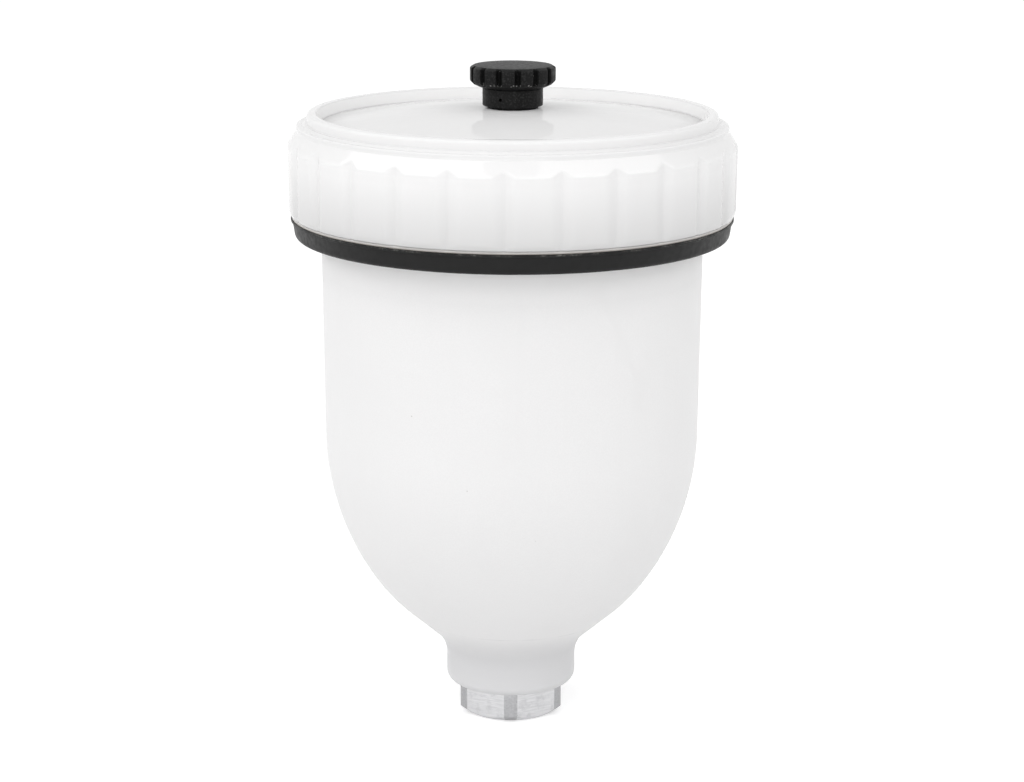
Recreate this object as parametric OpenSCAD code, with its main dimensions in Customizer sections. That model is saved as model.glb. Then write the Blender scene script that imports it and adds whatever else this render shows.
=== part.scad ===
// Gravity-feed paint cup for a spray gun: a milky plastic cup on a threaded metal fitting,
// closed by a fluted screw lid that has a vent knob in its middle.
// Millimetres, +Z up. The origin is the middle of the fitting's bottom face.

/* [Cup] */
// Outer radius of the straight wall, at its top
wall_top_r = 46.8; // [46.5:0.1:47.1]
// Outer radius of the straight wall where the bowl begins
wall_low_r = 46.35; // [46:0.05:46.5]
// Height of the top of the bowl
bowl_top_z = 73.6; // [72.6:0.2:74.6]
// Thickness of the wall
wall_t = 2; // [1.6:0.1:2.4]
// Outer radius of the neck
neck_r = 16.25; // [15.75:0.05:16.75]
// Height of the neck's bottom edge
neck_z = 7.6; // [7:0.1:8.2]
// Height of the top edge of the cup
mouth_z = 145.6; // [145.2:0.1:145.7]

/* [Lid] */
// Outer radius of the lid at the top of its skirt
lid_r = 54.8; // [54.4:0.1:55.2]
// Height of the lid's bottom edge
lid_z = 128.4; // [128.3:0.1:128.8]
// Number of upright grooves round the skirt
flutes = 26; // [18:1:32]
// Depth of one groove
flute_depth = 0.85; // [0.5:0.05:1]
// Height of the middle of the domed top
dome_z = 153.7; // [152.7:0.1:154.2]

/* [Screw thread] */
// Rise of the lid in one turn
lead = 6; // [5.4:0.1:6.4]
// Turns on the cup and in the lid
thread_turns = 1.75; // [1:0.25:1.75]

/* [Vent knob] */
// Radius of the knob's head
knob_r = 10.4; // [9.8:0.05:11]
// Number of grooves round the head
knob_grooves = 14; // [10:1:18]
// Radius of the collar under the head
collar_r = 7.35; // [6.85:0.05:7.6]

/* [Fitting] */
// Width of the hexagon across its flats
hex_af = 25.5; // [24.5:0.1:26.5]
// Radius of the threaded bore, the core of M16 x 1.5
thread_core_r = 7.188; // [6.8:0.001:7.2]
// Length of the threaded bore
thread_length = 11.5; // [10:0.5:11.5]

/* [Hidden] */
$fn = 96;
eps = 0.01;

// Bowl: two arcs, then a short cone into the fillet above the neck
bowl_arc_r = 65;
bowl_arc_turn = 34;
bowl_low_arc_r = 49.8;
cone_slope = 49;
neck_fillet_r = 9.2;
neck_edge_r = 2.4;
floor_z = 17.5;

// Flange that carries the black ring, and the threaded collar above it
flange_r = 53.9;
flange_z = 127.4;
flange_top_z = 128.05;
collar_wall_r = 50;
collar_inner_r = 47.6;
collar_edge_cut = 0.6;
flange_edge_cut = 0.2;
inner_step_h = 3;
ring_z = 122.5;
ring_low_r = 53.1;
ring_body_r = 53.75;
ring_lip_r = 54.15;
ring_lip_h = 0.65;
ring_edge_r = 1.3;
ring_lip_cut = 0.15;

// Lid
lid_bottom_r = lid_r - 0.2;
lid_inner_r = 52.1;
lid_lead_in = 0.8;
lid_ceiling_z = 147.4;
lid_edge_z = 1.05;
chamfer_z = 144.9;
chamfer_top_z = 148.5;
shoulder_r = 52.6;
shoulder_z = 149.7;
step_r = 50.8;
step_h = 0.5;
rim_r = 50;
rim_inner_r = 47;
rim_z = 152.7;
rim_round = 1.2;
rim_inner_round = 0.4;
rim_draft = 0.7;
dome_edge_z = 149.7;
dome_t = 2.2;
dome_flat_r = 8.4;
flute_half_w = 2.95;
flute_floor_half_w = 0.35;
flute_turn = -1.9;
lid_ceiling_r = 50.6;
lid_edge_cut = 0.2;
gasket_t = 1.5;
gasket_r = 50.3;
gasket_inner_r = 46.4;
gasket_gap = 0.05;

// Thread ribs on the cup and in the lid
cup_rib_r = 51.45;
lid_rib_r = 50.4;
rib_root_w = 3;
rib_crest_w = 1.55;
rib_flank_gap = 0.35;
rib_bite = 0.4;
rib_end_height = 0.25;
rib_run_in = 6;
rib_steps_per_turn = 72;
rib_below_mouth = 1.3;
cup_rib_z = mouth_z - rib_below_mouth - lead * thread_turns - rib_root_w / 2;
cup_rib_root_r = collar_wall_r - rib_bite;
lid_rib_root_r = lid_inner_r + rib_bite;
function rib_half_w(r, root_r, crest_r) =
    (rib_root_w - (rib_root_w - rib_crest_w) * (r - root_r) / (crest_r - root_r)) / 2;
rib_meet_r = (cup_rib_r + lid_rib_r) / 2;
// The lid's rib lies this far below the cup's, so that it pulls the lid down
rib_drop = rib_half_w(rib_meet_r, cup_rib_root_r, cup_rib_r)
    + rib_half_w(rib_meet_r, lid_rib_root_r, lid_rib_r) + rib_flank_gap;
// The lid's rib starts this many degrees further round, and as much higher on the same helix
lid_rib_turn = 62;

// Vent: washer, seat with its shank, nut and knob
vent_z = dome_z - 0.05;
washer_r = 6.2;
washer_h = 0.6;
collar_z = vent_z + washer_h;
collar_h = 4.3;
shank_r = 4.5;
shank_z = 147.6;
shank_hole_r = 4.6;
vent_bore_r = 3.2;
vent_throat_r = 1.6;
throat_z = 151;
air_hole_r = 0.4;
air_hole_turn = -24;
air_hole_h = 1.95;
nut_af = 15;
nut_h = 3;
nut_top_z = vent_z - dome_t - 0.1;
head_gap = 0.1;
head_z = collar_z + collar_h + head_gap;
head_h = 5.3;
stem_r = 3.12;
tip_z = 151.6;
tip_r = 0.9;
tip_h = 1.4;
seal_z = 157.2;
seal_round = 0.57;
seal_groove_r = 2;
seal_gap = 0.1;
knob_groove_r = 0.75;
knob_groove_turn = 6.7;
knob_foot_h = 0.75;
knob_foot_w = 0.9;
knob_round = 0.9;
knob_rim_w = 0.9;
knob_rim_h = 0.55;

// Metal fitting
hex_corner_r = 13.85;
hex_chamfer_w = 2.1;
hex_chamfer_h = 1.65;
thread_entry = 0.9;
fitting_shank_r = 11.5;
outlet_r = 5.5;
outlet_flare = 1.5;
grip_groove_h = 1.4;
grip_groove_depth = 1;
grip_groove_heights = [1.6, 5.2];
washer_t = 1;
washer_seat_r = thread_core_r + 0.3;
washer_gap = 0.03;

// Strainer that stands over the outlet
strainer_base_r = 13;
strainer_base_h = 1.4;
strainer_foot_h = 3;
strainer_tube_r = 8.3;
mesh_r = 7;
mesh_t = 0.4;
strainer_top_z = 46;
strainer_cap_h = 1.6;
strainer_ribs = 4;
strainer_rib_w = 1.8;

function arc(cx, cz, r, from, to, steps) =
    [for (i = [0 : steps]) let (a = from + (to - from) * i / steps) [cx + r * cos(a), cz + r * sin(a)]];

// Outline of the bowl from the neck's fillet up to the straight wall. An inset moves it inwards,
// which gives the inside of the wall.
arc_x = wall_low_r - bowl_arc_r;
joint_x = arc_x + bowl_arc_r * cos(bowl_arc_turn);
joint_z = bowl_top_z - bowl_arc_r * sin(bowl_arc_turn);
low_arc_x = joint_x - bowl_low_arc_r * cos(bowl_arc_turn);
low_arc_z = joint_z + bowl_low_arc_r * sin(bowl_arc_turn);
cone_x = low_arc_x + bowl_low_arc_r * cos(cone_slope);
cone_z = low_arc_z - bowl_low_arc_r * sin(cone_slope);
fillet_x = neck_r + neck_fillet_r;
fillet_end_x = fillet_x - neck_fillet_r * cos(cone_slope);
fillet_z = cone_z - (cone_x - fillet_end_x) / tan(cone_slope) - neck_fillet_r * sin(cone_slope);

function bowl_side(inset) = concat(
    arc(fillet_x, fillet_z, neck_fillet_r + inset, 180, 180 - cone_slope, 10),
    arc(low_arc_x, low_arc_z, bowl_low_arc_r - inset, -cone_slope, -bowl_arc_turn, 10),
    arc(arc_x, bowl_top_z, bowl_arc_r - inset, -bowl_arc_turn, 0, 18));

// A rib that winds up a wall: r_root lies inside the wall and r_crest is its free edge
module thread_rib(r_root, r_crest, z_start) {
    steps = round(thread_turns * rib_steps_per_turn);
    outward = r_crest > r_root;
    function height(i) =
        rib_end_height + (1 - rib_end_height) * min(1, i / rib_run_in, (steps - i) / rib_run_in);
    function ring(i) = let (
            a = 360 * i / rib_steps_per_turn,
            z = z_start + lead * i / rib_steps_per_turn,
            r = r_root + (r_crest - r_root) * height(i),
            half = (rib_root_w + (rib_crest_w - rib_root_w) * height(i)) / 2)
        [for (p = [[r_root, -rib_root_w / 2], [r, -half], [r, half], [r_root, rib_root_w / 2]])
            [p[0] * cos(a), p[0] * sin(a), z + p[1]]];
    points = [for (i = [0 : steps]) each ring(i)];
    sides = [for (i = [0 : steps - 1]) for (k = [0 : 3])
        let (a = 4 * i + k, b = 4 * i + (k + 1) % 4)
        each [[a, b, a + 4], [b, b + 4, a + 4]]];
    last = 4 * steps;
    ends = [[0, 2, 1], [0, 3, 2], [last, last + 1, last + 2], [last, last + 2, last + 3]];
    faces = [for (f = concat(sides, ends)) outward ? f : [f[2], f[1], f[0]]];
    polyhedron(points, faces);
}

module hexagon(af, h) {
    cylinder(r = af / 2 / cos(30), h = h, $fn = 6);
}

// Shank of the metal fitting, which the neck is moulded round
module fitting_shank() {
    difference() {
        translate([0, 0, neck_z])
            cylinder(r = fitting_shank_r, h = floor_z - neck_z);
        for (h = grip_groove_heights)
            translate([0, 0, neck_z + h])
                difference() {
                    cylinder(r = fitting_shank_r + 1, h = grip_groove_h);
                    translate([0, 0, -1])
                        cylinder(r = fitting_shank_r - grip_groove_depth, h = grip_groove_h + 2);
                }
    }
}

module cup_body() {
    outside = concat(
        [[0, neck_z]],
        arc(neck_r - neck_edge_r, neck_z + neck_edge_r, neck_edge_r, -90, 0, 8),
        bowl_side(0),
        [[wall_top_r, ring_z], [wall_top_r, flange_z], [flange_r, flange_z],
         [flange_r, flange_top_z - flange_edge_cut], [flange_r - flange_edge_cut, flange_top_z],
         [collar_wall_r, flange_top_z], [collar_wall_r, mouth_z - collar_edge_cut],
         [collar_wall_r - collar_edge_cut, mouth_z], [0, mouth_z]]);
    inside = concat(
        [[0, floor_z], [fillet_x - neck_fillet_r - wall_t, floor_z]],
        [for (p = bowl_side(wall_t)) if (p[1] > floor_z + 0.1) p],
        [[wall_top_r - wall_t, flange_z + flange_edge_cut],
         [collar_inner_r, flange_z + flange_edge_cut + inner_step_h],
         [collar_inner_r, mouth_z - collar_edge_cut], [collar_inner_r + collar_edge_cut, mouth_z],
         [collar_inner_r + collar_edge_cut, mouth_z + 1], [0, mouth_z + 1]]);
    color("whitesmoke")
        difference() {
            union() {
                rotate_extrude() polygon(outside);
                thread_rib(cup_rib_root_r, cup_rib_r, cup_rib_z);
            }
            rotate_extrude() polygon(inside);
            fitting_shank();
        }
}

module outlet_fitting() {
    color("silver")
        difference() {
            union() {
                intersection() {
                    rotate([0, 0, 30]) hexagon(hex_af, neck_z);
                    rotate_extrude()
                        polygon([[0, 0], [hex_corner_r - hex_chamfer_w, 0], [hex_corner_r, hex_chamfer_h],
                                 [hex_corner_r, neck_z], [0, neck_z]]);
                }
                fitting_shank();
                translate([0, 0, neck_z - 2])
                    cylinder(r = fitting_shank_r - grip_groove_depth, h = 4);
            }
            translate([0, 0, -1])
                cylinder(r = outlet_r, h = floor_z + 2);
            translate([0, 0, -1])
                cylinder(r = thread_core_r, h = thread_length + 1);
            translate([0, 0, thread_length])
                cylinder(r = washer_seat_r, h = washer_t);
            rotate_extrude()
                polygon([[0, -eps], [thread_core_r + thread_entry + eps, -eps],
                         [thread_core_r - eps, thread_entry], [0, thread_entry]]);
            rotate_extrude()
                polygon([[0, floor_z - outlet_flare], [outlet_r - eps, floor_z - outlet_flare],
                         [outlet_r + outlet_flare, floor_z + eps], [0, floor_z + eps]]);
        }
}

module fitting_washer() {
    color("ivory")
        translate([0, 0, thread_length])
            difference() {
                cylinder(r = washer_seat_r - washer_gap, h = washer_t);
                translate([0, 0, -1])
                    cylinder(r = outlet_r + 0.1, h = washer_t + 2);
            }
}

// Black ring that is pushed up round the wall until it meets the flange
module seal_ring() {
    lip_z = flange_z - ring_lip_h;
    section = concat(
        [[wall_top_r, ring_z]],
        arc(ring_low_r - ring_edge_r, ring_z + ring_edge_r, ring_edge_r, -90, -10, 6),
        [[ring_body_r, lip_z - ring_lip_cut], [ring_lip_r, lip_z], [ring_lip_r, flange_z], [wall_top_r, flange_z]]);
    color("dimgray")
        rotate_extrude() polygon(section);
}

module strainer_frame() {
    color("whitesmoke")
        difference() {
            union() {
                translate([0, 0, floor_z])
                    cylinder(r = strainer_base_r, h = strainer_base_h);
                translate([0, 0, floor_z])
                    cylinder(r = strainer_tube_r, h = strainer_base_h + strainer_foot_h);
                translate([0, 0, strainer_top_z - strainer_cap_h])
                    cylinder(r = strainer_tube_r, h = strainer_cap_h);
                for (i = [0 : strainer_ribs - 1])
                    rotate([0, 0, 45 + i * 360 / strainer_ribs])
                        translate([0, -strainer_rib_w / 2, floor_z])
                            cube([strainer_tube_r - 0.2, strainer_rib_w, strainer_top_z - floor_z - eps]);
            }
            translate([0, 0, floor_z - 1])
                cylinder(r = mesh_r, h = strainer_top_z - floor_z - strainer_cap_h + 1);
        }
}

module strainer_mesh() {
    color("gainsboro")
        translate([0, 0, floor_z])
            difference() {
                cylinder(r = mesh_r, h = strainer_top_z - floor_z - strainer_cap_h);
                translate([0, 0, -1])
                    cylinder(r = mesh_r - mesh_t, h = strainer_top_z - floor_z);
            }
}

// Point of the dome's upper or lower surface at a radius
dome_rise = dome_z - dome_edge_z;
dome_r = (rim_inner_r * rim_inner_r + dome_rise * dome_rise) / (2 * dome_rise);
function dome(r, down) = [r, dome_z - dome_r + sqrt(pow(dome_r - down, 2) - r * r)];

module lid_cap() {
    dome_steps = 12;
    outside = concat(
        [[0, lid_z], [lid_bottom_r - 0.3, lid_z], [lid_bottom_r, lid_z + lid_edge_z], [lid_r, chamfer_z],
         [shoulder_r, chamfer_top_z], [shoulder_r, shoulder_z - lid_edge_cut],
         [shoulder_r - lid_edge_cut, shoulder_z], [step_r, shoulder_z],
         [step_r - 0.1, shoulder_z + step_h], [rim_r, shoulder_z + step_h]],
        arc(rim_r - rim_round, rim_z - rim_round, rim_round, 0, 90, 8),
        arc(rim_inner_r + rim_draft + rim_inner_round, rim_z - rim_inner_round, rim_inner_round, 90, 180, 4),
        [for (i = [dome_steps : -1 : 2]) dome(rim_inner_r * i / dome_steps, 0)],
        [[dome_flat_r - 1, vent_z], [0, vent_z]]);
    inside = concat(
        [[0, lid_z - 1], [lid_inner_r + lid_lead_in, lid_z - 1], [lid_inner_r + lid_lead_in, lid_z],
         [lid_inner_r, lid_z + 1], [lid_inner_r, chamfer_z], [lid_ceiling_r, lid_ceiling_z],
         [rim_inner_r - dome_t, lid_ceiling_z]],
        [for (i = [dome_steps - 2 : -1 : 1]) dome(rim_inner_r * i / dome_steps, dome_t)],
        [[0, nut_top_z]]);
    color("whitesmoke")
        difference() {
            union() {
                difference() {
                    rotate_extrude() polygon(outside);
                    rotate_extrude() polygon(inside);
                }
                rotate([0, 0, lid_rib_turn])
                    thread_rib(lid_rib_root_r, lid_rib_r, cup_rib_z - rib_drop + lead * lid_rib_turn / 360);
            }
            for (i = [0 : flutes - 1])
                rotate([0, 0, -90 + flute_turn + i * 360 / flutes])
                    translate([lid_r, 0, lid_z - 1])
                        linear_extrude(height = chamfer_top_z - lid_z + 1)
                            polygon([[-flute_depth, -flute_floor_half_w], [0, -flute_half_w], [1, -flute_half_w],
                                     [1, flute_half_w], [0, flute_half_w], [-flute_depth, flute_floor_half_w]]);
            translate([0, 0, vent_z - dome_t - 2])
                cylinder(r = shank_hole_r, h = dome_t + 4);
        }
}

module lid_gasket() {
    color("ivory")
        translate([0, 0, lid_ceiling_z - gasket_t - gasket_gap])
            difference() {
                cylinder(r = gasket_r, h = gasket_t);
                translate([0, 0, -1])
                    cylinder(r = gasket_inner_r, h = gasket_t + 2);
            }
}

module vent_washer() {
    color("dimgray")
        translate([0, 0, vent_z])
            difference() {
                cylinder(r = washer_r, h = washer_h);
                translate([0, 0, -1])
                    cylinder(r = shank_hole_r, h = washer_h + 2);
            }
}

module vent_seat() {
    color("dimgray")
        difference() {
            union() {
                translate([0, 0, collar_z])
                    cylinder(r = collar_r, h = collar_h);
                translate([0, 0, shank_z])
                    cylinder(r = shank_r, h = collar_z - shank_z + eps);
            }
            translate([0, 0, throat_z])
                cylinder(r = vent_bore_r, h = 20);
            translate([0, 0, shank_z - 1])
                cylinder(r = vent_throat_r, h = 20);
            for (side = [0, 180])
                rotate([0, 0, -90 + air_hole_turn + side])
                    translate([0, 0, collar_z + air_hole_h])
                        rotate([0, 90, 0])
                            cylinder(r = air_hole_r, h = collar_r + 1);
        }
}

module vent_nut() {
    color("dimgray")
        translate([0, 0, nut_top_z - nut_h])
            difference() {
                hexagon(nut_af, nut_h);
                translate([0, 0, -1])
                    cylinder(r = shank_r, h = nut_h + 2);
            }
}

module vent_seal() {
    color("black")
        rotate_extrude()
            translate([seal_groove_r + seal_round, seal_z])
                circle(r = seal_round, $fn = 24);
}

module vent_knob() {
    seal_half = seal_round + seal_gap;
    groove_floor_r = seal_groove_r - 0.03;
    top_z = head_z + head_h;
    stem = [[0, tip_z], [tip_r, tip_z], [stem_r, tip_z + tip_h],
            [stem_r, seal_z - seal_half], [groove_floor_r, seal_z - seal_half],
            [groove_floor_r, seal_z + seal_half], [stem_r, seal_z + seal_half]];
    head = [[stem_r, head_z], [collar_r + 0.4, head_z], [knob_r - knob_foot_w, head_z + knob_foot_h],
            [knob_r, head_z + knob_foot_h + knob_round], [knob_r, top_z - knob_rim_h],
            [knob_r - knob_rim_w, top_z], [0, top_z]];
    color("dimgray")
        difference() {
            rotate_extrude() polygon(concat(stem, head));
            for (i = [0 : knob_grooves - 1])
                rotate([0, 0, -90 + knob_groove_turn + i * 360 / knob_grooves])
                    translate([knob_r - 0.05, 0, head_z - 1])
                        cylinder(r = knob_groove_r, h = head_h + 2, $fn = 24);
        }
}

cup_body();
outlet_fitting();
fitting_washer();
seal_ring();
strainer_frame();
strainer_mesh();
lid_cap();
lid_gasket();
vent_washer();
vent_seat();
vent_nut();
vent_seal();
vent_knob();
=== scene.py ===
"""A spray gun's paint cup with its screw lid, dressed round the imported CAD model.

Shapes are written in millimetres and turned into metres where a mesh is made. Every piece that
replaces a CAD node keeps that node's sizes and adds rounded edges, grooves, threads and finish.
"""

import math

import bmesh
import bpy
import numpy as np
from mathutils import Matrix, Vector


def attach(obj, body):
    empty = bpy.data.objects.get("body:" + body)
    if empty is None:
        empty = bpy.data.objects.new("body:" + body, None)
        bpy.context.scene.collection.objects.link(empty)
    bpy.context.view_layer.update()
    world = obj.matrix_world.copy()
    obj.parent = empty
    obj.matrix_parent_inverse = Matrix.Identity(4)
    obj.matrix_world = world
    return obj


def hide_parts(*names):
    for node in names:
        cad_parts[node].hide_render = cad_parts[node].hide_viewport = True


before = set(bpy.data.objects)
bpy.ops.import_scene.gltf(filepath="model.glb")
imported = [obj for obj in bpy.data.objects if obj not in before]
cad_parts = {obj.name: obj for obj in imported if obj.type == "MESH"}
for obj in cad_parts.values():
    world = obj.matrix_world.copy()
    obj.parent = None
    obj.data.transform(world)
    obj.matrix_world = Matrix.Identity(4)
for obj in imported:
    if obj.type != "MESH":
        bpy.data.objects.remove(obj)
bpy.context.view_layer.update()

MM = 0.001
FULL_TURN = 2 * math.pi

# Sizes of the CAD model, in millimetres
WALL_TOP_R, WALL_LOW_R, BOWL_TOP_Z, WALL_T = 46.8, 46.35, 73.6, 2.0
NECK_R, NECK_Z, NECK_EDGE_R, FLOOR_Z = 16.25, 7.6, 2.4, 17.5
BOWL_ARC_R, BOWL_ARC_TURN, LOW_ARC_R, CONE_SLOPE, FILLET_R = 65.0, 34.0, 49.8, 49.0, 9.2
FLANGE_R, FLANGE_Z, FLANGE_TOP_Z = 53.9, 127.4, 128.05
COLLAR_WALL_R, COLLAR_INNER_R, MOUTH_Z = 50.0, 47.6, 145.6
RING_Z, RING_LOW_R, RING_BODY_R, RING_LIP_R, RING_LIP_H = 122.5, 53.1, 53.75, 54.15, 0.65
LID_R, LID_BOTTOM_R, LID_Z, LID_EDGE_H, LID_INNER_R = 54.8, 54.6, 128.4, 1.05, 52.1
CHAMFER_Z, CHAMFER_TOP_Z, SHOULDER_R, SHOULDER_Z = 144.9, 148.5, 52.6, 149.7
STEP_R, STEP_H, RIM_R, RIM_INNER_R, RIM_Z = 50.8, 0.5, 50.0, 47.0, 152.7
RIM_ROUND, RIM_INNER_ROUND, RIM_DRAFT = 1.2, 0.4, 0.7
DOME_Z, DOME_EDGE_Z, DOME_T, DOME_FLAT_R = 153.7, 149.7, 2.2, 7.4
CEILING_Z, CEILING_R = 147.4, 50.6
FLUTES, FLUTE_DEPTH, FLUTE_HALF_W, FLUTE_FLOOR, FLUTE_TURN = 26, 0.85, 2.95, 0.35, -1.9
LEAD, THREAD_TURNS, LID_RIB_TURN = 6.0, 1.75, 62.0
CUP_RIB_R, LID_RIB_R, RIB_ROOT_W, RIB_CREST_W, RIB_BITE = 51.45, 50.4, 3.0, 1.55, 0.4
RIB_FLANK_GAP, RIB_BELOW_MOUTH = 0.35, 1.3
VENT_Z = DOME_Z - 0.05
WASHER_R, WASHER_H, SHANK_HOLE_R = 6.2, 0.6, 4.6
COLLAR_Z, COLLAR_R, COLLAR_H = VENT_Z + WASHER_H, 7.35, 4.3
SHANK_R, SHANK_Z, VENT_BORE_R, THROAT_R, THROAT_Z = 4.5, 147.6, 3.2, 1.6, 151.0
AIR_HOLE_R, AIR_HOLE_TURN, AIR_HOLE_H = 0.4, -24.0, 1.95
HEAD_Z, HEAD_H, KNOB_R = COLLAR_Z + COLLAR_H + 0.1, 5.3, 10.4
KNOB_FOOT_W, KNOB_FOOT_H, KNOB_ROUND, KNOB_RIM_W, KNOB_RIM_H = 0.9, 0.75, 0.9, 0.9, 0.55
KNOB_GROOVES, KNOB_GROOVE_R, KNOB_GROOVE_TURN = 14, 0.75, 6.7
STEM_R, TIP_Z, TIP_R, TIP_H, SEAL_Z, SEAL_HALF, SEAL_GROOVE_R = 3.12, 151.6, 0.9, 1.4, 157.2, 0.67, 1.97
HEX_AF, HEX_CORNER_R, HEX_CHAMFER_W, HEX_CHAMFER_H = 25.5, 13.85, 2.1, 1.65
THREAD_CORE_R, THREAD_LENGTH, THREAD_ENTRY = 7.188, 11.5, 0.9
FITTING_SHANK_R, OUTLET_R, OUTLET_FLARE, WASHER_SEAT_R, WASHER_T = 11.5, 5.5, 1.5, THREAD_CORE_R + 0.3, 1.0
GRIP_GROOVE_H, GRIP_GROOVE_DEPTH, GRIP_GROOVE_HEIGHTS = 1.4, 1.0, (1.6, 5.2)
MESH_R, MESH_T, MESH_Z, MESH_TOP_Z = 7.0, 0.4, 17.5, 44.4

# Sizes that only the visual model has, in millimetres
THREAD_PITCH, THREAD_DEPTH = 1.5, 0.81
STEP_SLANT, LID_EDGE_GAP, WIRE_T = 0.35, 0.04, 0.28

# Where the plastics change in tone or gloss, and where shade and light are painted on them, as heights and
# radii in millimetres
SIDE_SHADE_TOP_Z, SIDE_SHADE_Z, CHAMFER_FOOT_Z, CHAMFER_SHADE_Z = 142.0, 129.0, 144.5, 146.0
DISC_SHADE_R, DISC_LIGHT_R, DISC_LIGHT_EDGE_R, DISC_GLOSS_R, DISC_DULL_R = 40.0, 9.0, 14.0, 38.0, 46.0
CUP_LIGHT_FOOT_Z, CUP_LIGHT_Z, NECK_TONE_TOP_Z, SEAM_Z, FLANGE_SHADE_Z = 114.0, 122.0, 26.0, 25.6, 127.75
RUN_TOP_Z, RUN_FOOT_Z, RUN_END_Z = 118.0, 93.0, 85.0


# Shape helpers

def arc(cx, cz, radius, start, end, steps):
    """Points of an arc in a section, between two angles in degrees."""
    angles = np.radians(np.linspace(start, end, steps + 1))
    return [(cx + radius * math.cos(a), cz + radius * math.sin(a)) for a in angles]


def eased(corners, closed=True):
    """Section whose corners are rounded. A corner is (r, z), or (r, z, rounding)."""
    count = len(corners)
    section = []
    for i, corner in enumerate(corners):
        here = Vector(corner[:2])
        rounding = corner[2] if len(corner) > 2 else 0
        at_end = not closed and i in (0, count - 1)
        if not rounding or at_end:
            section.append((here.x, here.y))
            continue
        before = Vector(corners[i - 1][:2]) - here
        after = Vector(corners[(i + 1) % count][:2]) - here
        half = before.angle(after) / 2
        cut = min(rounding / math.tan(half), 0.48 * before.length, 0.48 * after.length)
        start = here + before.normalized() * cut
        end = here + after.normalized() * cut
        steps = max(2, math.ceil((math.pi - 2 * half) / math.radians(18)))
        for k in range(steps + 1):
            t = k / steps
            point = start * (1 - t) ** 2 + here * 2 * t * (1 - t) + end * t ** 2
            section.append((point.x, point.y))
    return section


def soft_min(a, b, soft):
    """The lower of two values, with the corner where they meet rounded over about soft."""
    h = np.clip(0.5 + 0.5 * (b - a) / soft, 0, 1)
    return b + (a - b) * h - soft * h * (1 - h)


def even_angles(columns):
    """Angles of evenly spaced columns round the upright axis."""
    return np.linspace(0, FULL_TURN, columns, endpoint=False)


def ring(angles, r, z):
    """One ring of points round the upright axis. r and z are numbers, or arrays of one value an angle."""
    r = np.broadcast_to(r, angles.shape)
    z = np.broadcast_to(z, angles.shape)
    return np.stack([r * np.cos(angles), r * np.sin(angles), z], axis=1)


def turned(section, columns):
    """Rings of a section turned about the upright axis. A point on the axis becomes a pole."""
    angles = even_angles(columns)
    return [ring(angles, r, z) if r > 1e-6 else np.array([[0.0, 0.0, z]]) for r, z in section]


def mesh_object(name, points, faces, sharp=35.0):
    """Object of a mesh in millimetres, smooth except where faces meet at more than sharp degrees."""
    mesh = bpy.data.meshes.new(name)
    mesh.from_pydata([tuple(p * MM for p in q) for q in points], [], faces)
    work = bmesh.new()
    work.from_mesh(mesh)
    bmesh.ops.recalc_face_normals(work, faces=work.faces)
    work.to_mesh(mesh)
    work.free()
    mesh.shade_smooth()
    mesh.set_sharp_from_angle(angle=math.radians(sharp))
    made = bpy.data.objects.new(name, mesh)
    bpy.context.scene.collection.objects.link(made)
    return made


def ring_object(name, rings, closed, sharp=35.0):
    """Object made of rings of points, each joined to the next. closed joins the last to the first."""
    starts = np.cumsum([0] + [len(r) for r in rings])
    count = max(len(r) for r in rings)
    pairs = [(i, i + 1) for i in range(len(rings) - 1)]
    if closed:
        pairs.append((len(rings) - 1, 0))
    faces = []
    for low, high in pairs:
        for k in range(count):
            n = (k + 1) % count
            a, b = starts[low] + k, starts[low] + n
            c, d = starts[high] + n, starts[high] + k
            if len(rings[low]) == 1:
                faces.append((starts[low], c, d))
            elif len(rings[high]) == 1:
                faces.append((a, b, starts[high]))
            else:
                faces.append((a, b, c, d))
    return mesh_object(name, np.concatenate(rings), faces, sharp)


def rib_object(name, r_root, r_crest, z_start, start_turn):
    """The rib of a screw thread: a rounded trapezium that winds up a wall and runs out at both ends."""
    per_turn = 120
    steps = round(THREAD_TURNS * per_turn)
    run_in = 12
    section = eased([(0.0, -RIB_ROOT_W / 2), (1.0, -RIB_CREST_W / 2, 0.3), (1.0, RIB_CREST_W / 2, 0.3),
                     (0.0, RIB_ROOT_W / 2)], closed=False)
    rings = []
    for i in range(steps + 1):
        a = math.radians(start_turn) + FULL_TURN * i / per_turn
        z = z_start + LEAD * i / per_turn
        rise = math.sin(math.pi / 2 * min(1, i / run_in, (steps - i) / run_in)) * 0.78 + 0.22
        rib = []
        for h, w in section:
            r = r_root + (r_crest - r_root) * rise * h
            rib.append((r * math.cos(a), r * math.sin(a), z + w))
        rings.append(rib)
    width = len(section)
    faces = []
    for start in range(0, steps * width, width):
        for k in range(width):
            n = (k + 1) % width
            faces.append((start + k, start + n, start + width + n, start + width + k))
    last = steps * width
    faces.append(tuple(range(width)))
    faces.append(tuple(range(last, last + width)))
    return mesh_object(name, [p for r in rings for p in r], faces, 50.0)


# Material helpers

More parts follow.
